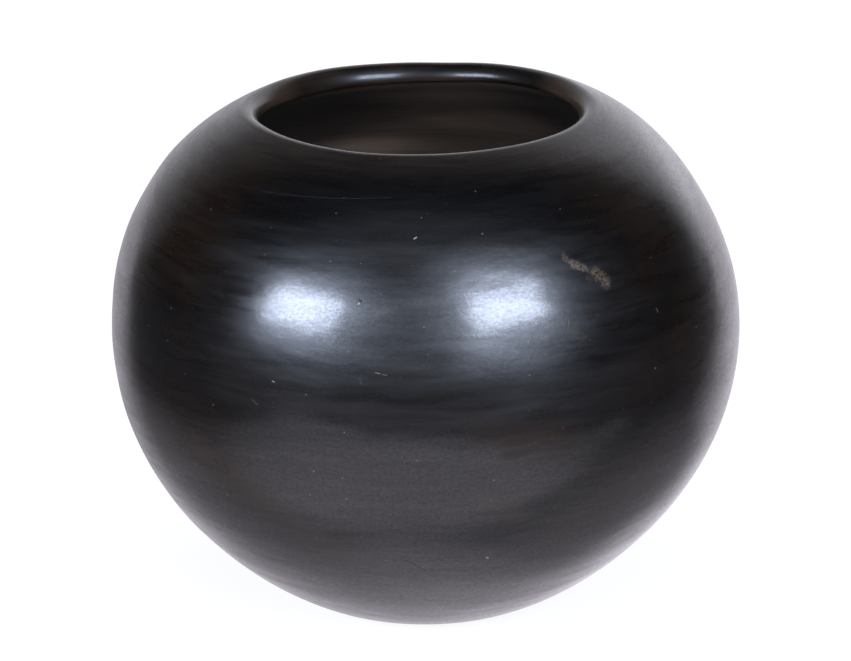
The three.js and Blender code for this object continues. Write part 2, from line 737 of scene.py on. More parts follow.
@dataclass(frozen=True)
class BurnishedSlip:
    """Fine black slip, rubbed to a gloss with a smooth stone in long level strokes.

    Heights and depths of the relief are millimetres.
    """

    name: str = "burnished_slip"
    black: Colour = rgba(0.0019, 0.0017, 0.0018)
    smoky_brown: Colour = rgba(0.0125, 0.0060, 0.0024)
    worn_brown: Colour = rgba(0.027, 0.0182, 0.0128)
    speck: Colour = rgba(0.30, 0.28, 0.25)
    rubbed_clay: Colour = rgba(0.185, 0.120, 0.060)
    index: float = 1.6
    unrolled_radius: float = 75.0

    # Strokes of the stone: broad passes, fine streaks, and their slant
    strokes: tuple[Stroke, ...] = (Stroke(26.0, 5.5, 0.018), Stroke(12.0, 2.4, 0.010))
    stroke_softness: float = 0.8
    stroke_level: float = 0.9
    slant: Spots = Spots((0.012, 0.012, 0.02))
    slant_reach: float = 12.0
    fine: Spots = Spots((0.08, 0.08, 0.8), 4.0, 0.6)
    passes: Spots = Spots((0.03, 0.03, 0.28), 3.0, 0.6)

    # Dull layer of gloss, and the sharper one over it
    roughness: float = 0.30
    rubbed_swing: float = 0.10
    fine_swing: float = 0.12
    passes_swing: float = 0.24
    marked_roughness: float = 0.35
    gloss_roughness: float = 0.175
    marked_gloss: float = 0.8
    dust: Spots = Spots((1.3, 1.3, 1.7), 3.0, 0.6)
    gloss_fine: Fade = Fade(0.25, 0.65, 0.78, 1.0)
    gloss_dust: Fade = Fade(0.3, 0.7, 0.52, 1.12)
    gloss_worn: Fade = Fade(0.0, 1.0, 1.0, 0.4)
    gloss_passes: Fade = Fade(0.35, 0.65, 0.92, 1.06)
    gloss_smudge: Fade = Fade(0.0, 1.0, 1.0, 0.05)

    # Smoke: brown clouds at the sides and at the back
    clouds: Spots = Spots((0.016, 0.016, 0.022), 4.0, 0.6)
    cloud_edge: Fade = Fade(0.36, 0.66)
    beside: Fade = Fade(0.92, 0.62)
    smoke_streaks: Fade = Fade(0.3, 0.7, 0.55, 1.0)

    # Wear: thin slip along the lip, and in patches and streaks towards the foot
    lip_wear: Fade = Fade(150.0, 166.0, 0.0, 0.6)
    low_wear: Fade = Fade(98.0, 60.0)
    patches: Spots = Spots((0.02, 0.02, 0.05), 4.0, 0.6)
    patch_edge: Fade = Fade(0.42, 0.66)
    low_streaks: Fade = Fade(98.0, 62.0, 0.0, 0.55)
    streak_edge: Fade = Fade(0.48, 0.68)
    wear_streaks: Fade = Fade(0.3, 0.7, 0.45, 1.0)

    # Grit: cells to a millimetre, the size of a grain in its cell, and how pale it is
    grit_cells: Triple = (0.12, 0.15, 0.0)
    grit_size: Fade = Fade(0.0, 1.0, 0.012, 0.042)
    grit_edge: Fade = Fade(1.0, 0.3)
    grit_pale: Fade = Fade(0.5, 1.0, 0.0, 0.36)
    pit_share: float = 0.12

    # Relief
    fine_height: float = 0.004
    grain: Spots = Spots((2.2, 2.2, 2.2))
    grain_height: float = 0.0045
    mottle: Spots = Spots((0.55, 0.55, 0.75))
    mottle_height: float = 0.012
    dents: Spots = Spots((0.15, 0.15, 0.26), 1.0)
    dent_height: float = 0.04
    nick_depth: float = 0.022
    scuff_depth: float = 0.02

    # Single marks, with the share of a mark's width at its full strength
    mark_core: float = 0.2
    fray: Spots = Spots((0.45, 0.45, 0.45), 3.0)
    fray_reach: Triple = (2.2, 2.2, 0.0)
    scuff_grain: Spots = Spots((1.5, 1.5, 1.5), 4.0, 0.75)
    scuff_edge: Fade = Fade(0.35, 0.68)
    smudge_streaks: Fade = Fade(0.36, 0.6, 0.35, 1.0)
    scuffs: tuple[Mark, ...] = (
        Mark((28.6, 131.5), (29.0, 130.6), 1.6, 0.36),
        Mark((29.6, 129.8), (32.0, 128.1), 1.4, 0.66),
        Mark((32.0, 128.1), (34.0, 126.6), 1.0, 0.36),
        Mark((34.2, 126.3), (35.9, 124.4), 2.2, 0.54),
        Mark((35.4, 124.4), (35.9, 122.9), 1.8, 0.50),
        Mark((32.4, 125.6), (34.4, 125.0), 1.0, 0.22),
        Mark((-9.6, 120.8), (-5.2, 121.6), 1.2, 0.14),
        Mark((26.4, 113.2), (28.6, 111.8), 1.6, 0.09),
    )
    stains: tuple[Mark, ...] = (
        Mark((-43.0, 77.0), (-30.0, 65.0), 9.0, 0.8),
        Mark((-31.0, 65.0), (-17.0, 53.0), 8.0, 0.8),
        Mark((9.5, 72.4), (15.5, 70.2), 3.0, 0.9),
        Mark((28.0, 58.5), (43.0, 68.5), 9.0, 0.7),
        Mark((-7.0, 162.8), (3.0, 162.8), 5.0, 0.6),
    )
    smudges: tuple[Mark, ...] = (
        Mark((10.5, 90.6), (15.5, 88.6), 7.0, 0.75),
        Mark((15.5, 88.2), (23.0, 87.6), 8.0, 1.0),
    )
    scratches: tuple[Mark, ...] = (
        Mark((-41.0, 147.2), (-7.8, 150.5), 0.10, 0.06),
        Mark((-8.4, 106.2), (-7.6, 106.0), 0.14, 0.45),
        Mark((-7.2, 105.8), (-6.4, 105.7), 0.12, 0.3),
        Mark((-2.2, 139.2), (-1.7, 139.6), 0.26, 0.75),
        Mark((-26.8, 101.3), (-26.4, 101.2), 0.20, 0.6),
        Mark((12.2, 52.2), (12.5, 52.0), 0.32, 0.8),
        Mark((-12.1, 122.5), (-12.0, 122.6), 0.30, 1.0),
        Mark((46.4, 113.8), (46.5, 112.8), 0.20, 0.25),
    )
    nicks: tuple[Mark, ...] = (
        Mark((-11.9, 123.5), (-11.5, 123.2), 0.42),
        Mark((26.5, 116.7), (25.9, 114.2), 0.22, 0.3),
        Mark((-22.7, 109.8), (-22.2, 109.9), 0.60, 0.35),
        Mark((-30.4, 95.6), (-29.6, 94.8), 0.45),
        Mark((-11.1, 104.7), (-10.9, 103.5), 0.45, 0.4),
        Mark((-9.2, 117.3), (-8.8, 117.2), 0.50, 0.4),
        Mark((-3.7, 52.1), (-1.4, 49.9), 0.26),
        Mark((-1.2, 49.4), (0.3, 47.6), 0.22),
    )

    def make(self) -> bpy.types.Material:
        """Builds the material.

        Returns:
            The finished material.
        """
        graph = SkinGraph(self.name)
        where = graph.where
        slant = graph.maths("MULTIPLY", graph.spots(where, self.slant), self.slant_reach)
        raised = graph.node("ShaderNodeCombineXYZ", {2: slant}).outputs[0]
        swept = graph.vector("ADD", where, raised)
        fine = graph.spots(swept, self.fine)
        passes = graph.spots(swept, self.passes)
        tilt, rubbed = self._strokes(graph, swept)

        unrolled = graph.unroll(self.unrolled_radius, Side.FRONT)
        loose = graph.vector("SUBTRACT", graph.spots(where, self.fray, "Color"), HALF)
        ragged = graph.vector("ADD", unrolled, graph.vector("MULTIPLY", loose, self.fray_reach))
        specks, pits = self._grit(graph, unrolled)
        scuff_grain = graph.fade(graph.spots(where, self.scuff_grain), self.scuff_edge)
        scuff = graph.maths("MULTIPLY", self._draw(graph, ragged, self.scuffs), scuff_grain)
        smudge = self._draw(graph, ragged, self.smudges)
        smudge = graph.maths("MULTIPLY", smudge, graph.fade(fine, self.smudge_streaks))
        pale = graph.maths("MAXIMUM", specks, self._draw(graph, unrolled, self.scratches))
        nick = graph.maths("MAXIMUM", self._draw(graph, unrolled, self.nicks), pits)
        marked = graph.maths("MAXIMUM", pale, scuff, nick)

        beside = graph.fade(graph.facing(TO_FRONT), self.beside)
        clouds = graph.fade(graph.spots(where, self.clouds), self.cloud_edge)
        smoke = graph.maths("MULTIPLY", clouds, beside, graph.fade(fine, self.smoke_streaks))
        thin = graph.maths(
            "MAXIMUM", self._thin(graph, beside, passes), self._draw(graph, ragged, self.stains)
        )
        worn = graph.maths("MULTIPLY", thin, graph.fade(fine, self.wear_streaks))
        colour = self.black
        for share, paint in (
            (smoke, self.smoky_brown),
            (worn, self.worn_brown),
            (smudge, self.smoky_brown),
            (pale, self.speck),
            (scuff, self.rubbed_clay),
        ):
            colour = graph.blend(share, colour, paint)
        rough = graph.maths(
            "ADD",
            self.roughness,
            graph.swing(rubbed, self.rubbed_swing),
            graph.swing(fine, self.fine_swing),
            graph.swing(passes, self.passes_swing),
            graph.maths("MULTIPLY", marked, self.marked_roughness),
        )
        gloss = graph.maths(
            "MULTIPLY",
            graph.maths(
                "SUBTRACT",
                graph.fade(fine, self.gloss_fine),
                graph.maths("MULTIPLY", marked, self.marked_gloss),
            ),
            graph.fade(graph.spots(where, self.dust), self.gloss_dust),
            graph.fade(worn, self.gloss_worn),
            graph.fade(passes, self.gloss_passes),
            graph.fade(smudge, self.gloss_smudge),
        )
        relief = graph.relief(
            (fine, self.fine_height),
            (graph.spots(where, self.grain), self.grain_height),
            (graph.spots(where, self.mottle), self.mottle_height),
            (graph.spots(where, self.dents), self.dent_height),
            (nick, -self.nick_depth),
            (scuff, -self.scuff_depth),
        )
        facing = graph.vector("NORMALIZE", graph.vector("ADD", relief, tilt))
        return graph.dress(
            {
                "Base Color": colour,
                "Roughness": rough,
                "IOR": self.index,
                "Coat Weight": gloss,
                "Coat Roughness": self.gloss_roughness,
                "Coat IOR": self.index,
                "Normal": facing,
                "Coat Normal": facing,
            }
        )

    def _strokes(self, graph: Graph, swept: Socket) -> tuple[Socket, Socket]:
        """Long flats that the stone leaves, each leaning a little its own way.

        Args:
            graph: The node tree to write in.
            swept: Where to look, with the strokes' slant in it.

        Returns:
            The lean of the flat as a vector, and how hard the last stone rubbed it.
        """
        leans = []
        for stroke in self.strokes:
            around = 1.0 / stroke.length
            sockets = {
                "Vector": graph.vector("MULTIPLY", swept, (around, around, 1.0 / stroke.breadth)),
                "Scale": 1.0,
                "Smoothness": self.stroke_softness,
                "Randomness": 1.0,
            }
            flat = graph.node("ShaderNodeTexVoronoi", sockets, feature="SMOOTH_F1").outputs["Color"]
            level = self.stroke_level * stroke.lean
            centred = graph.vector("SUBTRACT", flat, HALF)
            leans.append(graph.vector("MULTIPLY", centred, (level, level, stroke.lean)))
        rubbed = graph.node("ShaderNodeSeparateColor", {0: flat}).outputs[0]
        return graph.vector("ADD", *leans), rubbed

    def _grit(self, graph: Graph, unrolled: Socket) -> tuple[Socket, Socket]:
        """Scattered pale grains in the slip, and the pits that others fell from.

        Args:
            graph: The node tree to write in.
            unrolled: The place on the flat skin.

        Returns:
            How much of a pale grain and how much of a pit there is.
        """
        place = graph.vector("MULTIPLY", unrolled, self.grit_cells)
        sockets = {"Vector": place, "Scale": 1.0, "Randomness": 1.0}
        cells = graph.node("ShaderNodeTexVoronoi", sockets, voronoi_dimensions="2D")
        colour = graph.node("ShaderNodeSeparateColor", {0: cells.outputs["Color"]})
        kind, bulk = colour.outputs[0], colour.outputs[1]
        size = graph.fade(bulk, self.grit_size)
        spot = graph.fade(graph.maths("DIVIDE", cells.outputs["Distance"], size), self.grit_edge)
        pale = graph.maths("MULTIPLY", graph.fade(kind, self.grit_pale), spot)
        pit = graph.maths("MULTIPLY", graph.maths("LESS_THAN", kind, self.pit_share), spot)
        return pale, pit

    def _draw(self, graph: Graph, unrolled: Socket, marks: tuple[Mark, ...]) -> Socket:
        """Draws single marks on the flat skin.

        Args:
            graph: The node tree to write in.
            unrolled: The place on the flat skin.
            marks: The marks to draw.

        Returns:
            How much of a mark there is.
        """
        shares = []
        for mark in marks:
            start, end = (
                (math.radians(angle) * self.unrolled_radius, along, 0.0)
                for angle, along in (mark.start, mark.end)
            )
            core = self.mark_core * mark.half_width
            edge = Fade(mark.half_width, core, 0.0, mark.strength)
            shares.append(graph.fade(graph.segment(unrolled, start, end), edge))
        return graph.maths("MAXIMUM", *shares)

    def _thin(self, graph: SkinGraph, beside: Socket, passes: Socket) -> Socket:
        """How thin the slip is along the lip, and in patches and streaks towards the foot.

        Args:
            graph: The node tree to write in.
            beside: 0 at the front, 1 at the sides and the back.
            passes: The broad streaks.

        Returns:
            A number from 0, full slip, to 1, the browner clay under it.
        """
        lip = graph.fade(graph.along, self.lip_wear)
        patches = graph.fade(graph.spots(graph.where, self.patches), self.patch_edge)
        low = graph.maths("MULTIPLY", graph.fade(graph.along, self.low_wear), patches, beside)
        streaks = graph.fade(graph.along, self.low_streaks)
        streaks = graph.maths("MULTIPLY", streaks, graph.fade(passes, self.streak_edge))
        return graph.maths("MAXIMUM", lip, low, streaks)


@dataclass(frozen=True)
class SmoothedLip:
    """The inner face of the lip: slip smoothed with a wet finger, and hardly rubbed with the stone.

    It is browner at its two sides, partly worn and partly painted light. The brown under its far
    middle is painted light against the shade beneath the lip's overhang.
    """

    name: str = "smoothed_lip"
    black: Colour = rgba(0.0050, 0.0034, 0.0024)
    brown: Colour = rgba(0.052, 0.033, 0.020)
    under_index: float = 1.28
    index: float = 1.6
    streaks: Spots = Spots((0.06, 0.06, 0.7), 3.0, 0.6)
    clouds: Spots = Spots((0.05, 0.05, 0.1), 3.0, 0.6)
    cloud_edge: Fade = Fade(0.35, 0.65)
    cloud_wear: float = 0.4
    # Painted light: brown under the lip's far middle, against the shade of its overhang
    under: Fade = Fade(169.8, 172.2)
    painted_light_rear: Fade = Fade(0.84, 0.98)
    # Browner sides: partly wear, partly painted light
    sides_brown_and_painted_light: Fade = Fade(0.70, 0.90, 0.0, 0.8)
    sides_streaks: Fade = Fade(0.3, 0.7, 0.8, 1.1)
    grain: Spots = Spots((1.3, 1.3, 1.7), 3.0, 0.6)
    gloss: Fade = Fade(0.3, 0.7, 0.4, 0.6)
    gloss_top: Fade = Fade(166.6, 168.6, 1.7, 1.0)
    gloss_roughness: float = 0.18
    roughness: Fade = Fade(0.3, 0.7, 0.36, 0.48)
    streak_height: float = 0.006
    grain_height: float = 0.006

    def make(self) -> bpy.types.Material:
        """Builds the material.

        Returns:
            The finished material.
        """
        graph = SkinGraph(self.name)
        streaks = graph.spots(graph.where, self.streaks)
        grain = graph.spots(graph.where, self.grain)
        clouds = graph.fade(graph.spots(graph.where, self.clouds), self.cloud_edge)
        worn = graph.maths("MULTIPLY", clouds, streaks, self.cloud_wear)
        # Browner sides, partly wear and partly painted light
        sides_brown_and_painted_light = graph.fade(graph.maths("ABSOLUTE", graph.facing(TO_RIGHT)), self.sides_brown_and_painted_light)
        sides_brown_and_painted_light = graph.maths("MULTIPLY", sides_brown_and_painted_light, graph.fade(streaks, self.sides_streaks))
        # Painted light under the lip's far middle, against the shade of its overhang
        painted_light_rear = graph.fade(graph.facing(TO_BACK), self.painted_light_rear)
        under = graph.maths("MULTIPLY", graph.fade(graph.along, self.under), painted_light_rear)
        # The brown share: wear, and painted light at the sides and under the far middle
        brown = graph.maths("MAXIMUM", worn, sides_brown_and_painted_light, under)
        gloss = graph.fade(grain, self.gloss)
        gloss = graph.maths("MULTIPLY", gloss, graph.fade(graph.along, self.gloss_top))
        relief = graph.relief((streaks, self.streak_height), (grain, self.grain_height))
        return graph.dress(
            {
                "Base Color": graph.blend(brown, self.black, self.brown),
                "Roughness": graph.fade(streaks, self.roughness),
                "IOR": self.under_index,
                "Coat Weight": gloss,
                "Coat Roughness": self.gloss_roughness,
                "Coat IOR": self.index,
                "Normal": relief,
                "Coat Normal": relief,
            }
        )


@dataclass(frozen=True)
class PaintedLightPatch:
    """A soft patch of painted light inside: degrees from the back, millimetres along, half sizes
    and strength.
    """

    angle: float
    along: float
    half_angle: float
    half_along: float
    strength: float


@dataclass(frozen=True)
class WipedClay:
    """The inside: smoked clay, wiped level by hand and left dull, with painted light in browner
    patches.
    """

    name: str = "wiped_clay"
    dark: Colour = rgba(0.0118, 0.0092, 0.0068)
    brown: Colour = rgba(0.205, 0.142, 0.098)
    index: float = 1.5
    unrolled_radius: float = 65.0
    bands: Spots = Spots((0.010, 0.010, 0.085), 1.0)
    band_height: float = 0.25
    wipes: Spots = Spots((0.02, 0.02, 0.5), 3.0, 0.6)
    wipe_height: float = 0.05
    wipe_brown: Fade = Fade(0.3, 0.7, 0.8, 1.0)
    patches: Spots = Spots((0.03, 0.03, 0.05), 3.0)
    patch_brown: Fade = Fade(0.3, 0.65, 0.75, 1.0)
    grit: Spots = Spots((1.6, 1.6, 1.6))
    grit_height: float = 0.015
    roughness: Fade = Fade(0.3, 0.7, 0.63, 0.49)
    wall_brown: Fade = Fade(185.0, 225.0, 0.07, 0.19)
    # Painted light: the floor, which the lamps hardly reach, is browned
    floor_painted_light: Fade = Fade(225.0, 275.0, 0.0, 0.16)
    # Painted light: soft patches of lighter brown under the lip, on the far wall and deep on the
    # near side
    painted_light_patches: tuple[PaintedLightPatch, ...] = (
        PaintedLightPatch(0.0, 172.5, 80.0, 7.0, 1.0),
        PaintedLightPatch(6.0, 183.0, 38.0, 9.0, 0.38),
        PaintedLightPatch(6.0, 195.0, 36.0, 12.0, 0.33),
        PaintedLightPatch(5.0, 198.5, 13.0, 5.0, 0.32),
        PaintedLightPatch(1.0, 203.0, 28.0, 6.5, 0.45),
        PaintedLightPatch(-14.0, 211.5, 22.0, 8.0, 0.85),
        PaintedLightPatch(4.0, 213.0, 30.0, 10.0, 0.60),
        PaintedLightPatch(22.0, 204.0, 24.0, 18.0, 0.32),
        PaintedLightPatch(140.0, 225.0, 60.0, 20.0, 0.36),
    )

    def make(self) -> bpy.types.Material:
        """Builds the material.

        Returns:
            The finished material.
        """
        graph = SkinGraph(self.name)
        bands = graph.spots(graph.where, self.bands)
        wipes = graph.spots(graph.where, self.wipes)
        patches = graph.spots(graph.where, self.patches)
        grit = graph.spots(graph.where, self.grit)
        # The brown share, painted light included
        share = graph.maths(
            "MULTIPLY",
            self._brown_share_with_painted_light(graph),
            graph.fade(wipes, self.wipe_brown),
            graph.fade(patches, self.patch_brown),
        )
        heights = (self.wipe_height, self.grit_height, self.band_height)
        return graph.dress(
            {
                "Base Color": graph.blend(share, self.dark, self.brown),
                "Roughness": graph.fade(wipes, self.roughness),
                "IOR": self.index,
                "Normal": graph.relief(*zip((wipes, grit, bands), heights, strict=True)),
            }
        )

    def _brown_share_with_painted_light(self, graph: SkinGraph) -> Socket:
        """Browns the inside: more further down the wall, and as painted light on the floor and in
        patches.

        Args:
            graph: The node tree to write in.

        Returns:
            How much brown there is, painted light included.
        """
        place = graph.unroll(self.unrolled_radius, Side.BACK)
        shares = [graph.fade(graph.along, fade) for fade in (self.wall_brown, self.floor_painted_light)]
        for patch in self.painted_light_patches:
            centre = (math.radians(patch.angle) * self.unrolled_radius, patch.along, 0.0)
            half_around = math.radians(patch.half_angle) * self.unrolled_radius
            halves = (half_around, patch.half_along, 1.0)
            shares.append(graph.oval(place, centre, halves, Fade(1.0, 0.0, 0.0, patch.strength)))
        return graph.maths("ADD", *shares)


@dataclass
class Profile:
    """A piece's cross-section at every angle around the axis.

    It has one row of places, directions and distances along the skin for each of its points, and
    the surface that each stretch between two points belongs to. It closes on itself, or it begins
    and ends on the axis.
    """

    places: np.ndarray
    facing: np.ndarray
    travel: np.ndarray
    cuts: list[Cut]
    closed: bool


@dataclass
class ClayWall:
    """The bowl's wall: base, coils and rim, each a closed piece cut from the skin.

    Steps are millimetres between the rows of a mesh. The lip's own finish begins at lip_face after
    the start of the lip and ends at bare_face past its end.
    """

    skin: Skin
    finishes: dict[Cut, bpy.types.Material]
    columns: int = 320
    outside_step: float = 1.3
    inside_step: float = 2.6
    least_steps: int = 3
    lip_rows: int = 18
    lip_face: float = 2.4
    bare_face: float = 0.4
    sectors: int = 4
    joint_share: float = 0.15
    map_margin: float = 0.02

    def build(self) -> list[bpy.types.Object]:
        """Makes every piece of the wall.

        Returns:
            The pieces, from the base to the rim.
        """
        clay = self.skin.clay
        numbers = range(clay.coil_count + 1)
        joints = [clay.base_wall + number * self.skin.coil for number in numbers]
        pieces = [self._base(joints[0])]
        for number in range(clay.coil_count):
            name = f"wall_coil_{number + 1}"
            pieces.append(self._coil(name, joints[number], joints[number + 1]))
        pieces.append(self._rim(joints[-1]))
        return pieces

    def _stretch(self, start: float, end: float, step: float) -> np.ndarray:
        """Distances from start to end, about a step apart."""
        count = max(self.least_steps, round(abs(end - start) / step))
        return np.linspace(start, end, count + 1)

    def _behind(self, joint: float) -> float:
        """Distance along the skin of a joint's inner edge, which lies lower by the lap."""
        return self.skin.inside_of(joint - self.skin.clay.coil_lap)

    def _coil(self, name: str, low: float, high: float) -> bpy.types.Object:
        """One rope of clay between two joints.

        Args:
            name: The name of the solid that the rope stands for.
            low: The joint below it.
            high: The joint on top of it.

        Returns:
            The finished piece.
        """
        outer = self._stretch(low, high, self.outside_step)
        inner = self._stretch(self._behind(high), self._behind(low), self.inside_step)
        return self._piece(name, [outer, inner], True)

    def _rim(self, low: float) -> bpy.types.Object:
        """The last rope, with the lip rounded over it.

        Args:
            low: The joint below it.

        Returns:
            The finished piece.
        """
        skin = self.skin
        outer = self._stretch(low, skin.lip_start, self.outside_step)
        lip = np.linspace(skin.lip_start, skin.lip_end, self.lip_rows + 1)[1:-1]
        inner = self._stretch(skin.lip_end, self._behind(low), self.outside_step)
        return self._piece("rim_coil", [np.concatenate([outer, lip, inner])], True)

    def _base(self, high: float) -> bpy.types.Object:
        """The dished base, from the middle of the resting face to the middle of the floor.

        Args:
            high: The joint on top of it.

        Returns:
            The finished piece.
        """
        skin = self.skin
        under = self._stretch(-skin.clay.foot_radius, 0.0, self.inside_step)[:-1]
        outer = self._stretch(0.0, high, self.outside_step)
        inner = self._stretch(skin.floor_start, skin.end, self.inside_step)
        return self._piece("base_dish", [np.concatenate([under, outer]), inner], False)

    def _piece(self, name: str, runs: list[np.ndarray], closed: bool) -> bpy.types.Object:
        """Makes a piece and lets it stand for its solid.

        Args:
            name: The name of the solid.
            runs: Distances along the skin, one array for each run of it.
            closed: Whether the section closes on itself or ends on the axis.

        Returns:
            The finished piece.
        """
        mesh = self._mesh(name + "_skin", self._profile(runs, closed))
        piece = bpy.data.objects.new(name + "_clay", mesh)
        bpy.context.scene.collection.objects.link(piece)
        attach(piece, ROOT_BODY)
        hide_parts(name)
        return piece

    def _profile(self, runs: list[np.ndarray], closed: bool) -> Profile:
        """Places the skin's runs and the joint faces between them around the axis.

        Args:
            runs: Distances along the skin, one array for each run of it.
            closed: Whether the section closes on itself or ends on the axis.

        Returns:
            The piece's cross-section at every angle.
        """
        angle = np.arange(self.columns) * (2.0 * math.pi / self.columns)
        places = np.concatenate([self.skin.points(run, angle) for run in runs])
        facing = np.concatenate([self.skin.normals(run, angle) for run in runs])
        cuts: list[Cut] = []
        for run in runs:
            if cuts:
                cuts.append(Cut.JOINT)
            cuts.extend(self._surface(middle) for middle in (run[1:] + run[:-1]) / 2.0)
        if closed:
            cuts.append(Cut.JOINT)
        return Profile(places, facing, np.concatenate(runs), cuts, closed)

    def _surface(self, along: float) -> Cut:
        """The surface that a place on the skin belongs to.

        Args:
            along: Distance along the skin.

        Returns:
            The outside, the inner face of the lip or the inside.
        """
        if along > self.skin.lip_end + self.bare_face:
            return Cut.INSIDE
        if along > self.skin.lip_start + self.lip_face:
            return Cut.LIP
        return Cut.OUTSIDE

    def _mesh(self, name: str, profile: Profile) -> bpy.types.Mesh:
        """Turns a section into a closed mesh and dresses it.

        Args:
            name: The name of the mesh.
            profile: The piece's cross-section.

        Returns:
            The finished mesh.
        """
        rows = len(profile.travel)
        grid = np.arange(rows * self.columns).reshape(rows, self.columns)
        if not profile.closed:
            grid[0, :] = grid[0, 0]
            grid[-1, :] = grid[-1, 0]
        used, index = np.unique(grid, return_inverse=True)
        vertices = profile.places.reshape(-1, 3)[used]
        faces, cuts = self._faces(index.reshape(grid.shape), profile)
        mesh = bpy.data.meshes.new(name)
        mesh.from_pydata((vertices * MM).tolist(), [], faces)
        stroke = mesh.attributes.new(STROKE, "FLOAT_VECTOR", "POINT")
        travel = np.repeat(profile.travel, self.columns)[used]
        where = np.column_stack([vertices[:, 0], vertices[:, 1], travel])
        stroke.data.foreach_set("vector", where.astype(np.float32).ravel())
        shown = list(dict.fromkeys(self.finishes[cut] for cut in profile.cuts))
        for finish in shown:
            mesh.materials.append(finish)
        slots = [shown.index(self.finishes[cut]) for cut in cuts]
        mesh.polygons.foreach_set("material_index", slots)
        mesh.polygons.foreach_set("use_smooth", [True] * len(faces))
        self._set_normals(mesh, profile, used, cuts)
        if profile.closed:
            self._lay_map(mesh, profile)
        return mesh

    def _faces(
        self, index: np.ndarray, profile: Profile
    ) -> tuple[list[tuple[int, ...]], list[Cut]]:
        """Faces of a piece, row by row, and the surface each one belongs to.

        Args:
            index: The vertex at each row and column.
            profile: The piece's cross-section.

        Returns:
            The faces as vertex numbers, and their surfaces.
        """
        faces: list[tuple[int, ...]] = []
        cuts: list[Cut] = []
        for row, cut in enumerate(profile.cuts):
            lower, upper = index[row], index[(row + 1) % len(index)]
            for column in range(self.columns):
                beside = (column + 1) % self.columns
                ring = (lower[column], lower[beside], upper[beside], upper[column])
                faces.append(tuple(dict.fromkeys(int(corner) for corner in ring)))
                cuts.append(cut)
        return faces, cuts

    def _set_normals(
        self, mesh: bpy.types.Mesh, profile: Profile, used: np.ndarray, cuts: list[Cut]
    ) -> None:
        """Gives the skin its own directions, so that pieces meet without a seam.

        The faces of the joints stay flat and sharp.

        Args:
            mesh: The piece's mesh.
            profile: Its cross-section.
            used: Which grid points are vertices.
            cuts: The surface of each face.
        """
        facing = profile.facing.reshape(-1, 3)[used]
        if not profile.closed:
            facing[0] = (0.0, 0.0, -1.0)
            facing[-1] = (0.0, 0.0, 1.0)
        directions = np.empty((len(mesh.loops), 3))
        corners = np.empty(len(mesh.loops), np.int64)
        mesh.loops.foreach_get("vertex_index", corners)
        for polygon, cut in zip(mesh.polygons, cuts, strict=True):
            span = slice(polygon.loop_start, polygon.loop_start + polygon.loop_total)
            sharp = cut is Cut.JOINT
            directions[span] = polygon.normal if sharp else facing[corners[span]]
        mesh.normals_split_custom_set(directions.tolist())

    def _lay_map(self, mesh: bpy.types.Mesh, profile: Profile) -> None:
        """Unrolls a ring into stacked strips, so that its texture keeps an even grain.

        Args:
            mesh: The ring's mesh.
            profile: Its cross-section.
        """
        rows = len(profile.travel)
        spans = [self._span(profile, row) for row in range(rows)]
        heights = np.concatenate([[0.0], np.cumsum(spans)]) / sum(spans)
        strip = self.columns // self.sectors
        margin = self.map_margin
        corners = []
        for row in range(rows):
            for column in range(self.columns):
                sector, left = divmod(column, strip)
                for side, rise in ((0, 0), (1, 0), (1, 1), (0, 1)):
                    across = margin / 2.0 + (1.0 - margin) * ((left + side) / strip)
                    high = margin + (1.0 - 2.0 * margin) * heights[row + rise]
                    corners.append((across, (sector + high) / self.sectors))
        layer = mesh.uv_layers.new(name=BAKE_MAP)
        layer.data.foreach_set("uv", np.array(corners).astype(np.float32).ravel())

    def _span(self, profile: Profile, row: int) -> float:
        """Measures one stretch of a section; a joint counts for less, because nobody sees it.

        Args:
            profile: The section.
            row: The point that the stretch begins at.

        Returns:
            The length that the stretch gets in the map.
        """
        after = (row + 1) % len(profile.travel)
        step = profile.places[after, 0] - profile.places[row, 0]
        share = self.joint_share if profile.cuts[row] is Cut.JOINT else 1.0
        return float(np.linalg.norm(step)) * share


def toward(azimuth: float, elevation: float) -> Vector:
    """A direction in the room.

    Args:
        azimuth: Degrees to the right of the front.
        elevation: Degrees above the table.

    Returns:
        The unit vector that points there.
    """
    turn, tilt = math.radians(azimuth), math.radians(elevation)
    level = math.cos(tilt)
    return Vector((math.sin(turn) * level, -math.cos(turn) * level, math.sin(tilt)))


def cosine(degrees: float) -> float:
    """The cosine of an angle in degrees."""
    return math.cos(math.radians(degrees))


@dataclass(frozen=True)
class SoftBox:
    """A soft box that faces the bowl; azimuth and elevation are degrees, lengths metres."""

    name: str
    azimuth: float
    elevation: float
    width: float
    height: float
    radiance: float
    distance: float = 1.3
    colour: Triple = (0.70, 0.79, 1.0)

    def place(self, aim: Vector) -> None:
        """Hangs the soft box in the scene.

        Args:
            aim: The point that it faces.
        """
        away = toward(self.azimuth, self.elevation)
        lamp = bpy.data.lights.new(self.name, "AREA")
        lamp.shape = "RECTANGLE"
        lamp.size = self.width
        lamp.size_y = self.height
        lamp.color = self.colour
        lamp.energy = self.radiance * math.pi * self.width * self.height
        made = bpy.data.objects.new(self.name, lamp)
        made.location = aim + away * self.distance
        made.rotation_euler = (-away).to_track_quat("-Z", "Y").to_euler()
        made.visible_camera = False
        bpy.context.scene.collection.objects.link(made)


@dataclass(frozen=True)
class Haze:
    """Soft light from one side of the room, which fades over its reach; angles are degrees."""

    azimuth: float
    elevation: float
    reach: float
    colour: Triple


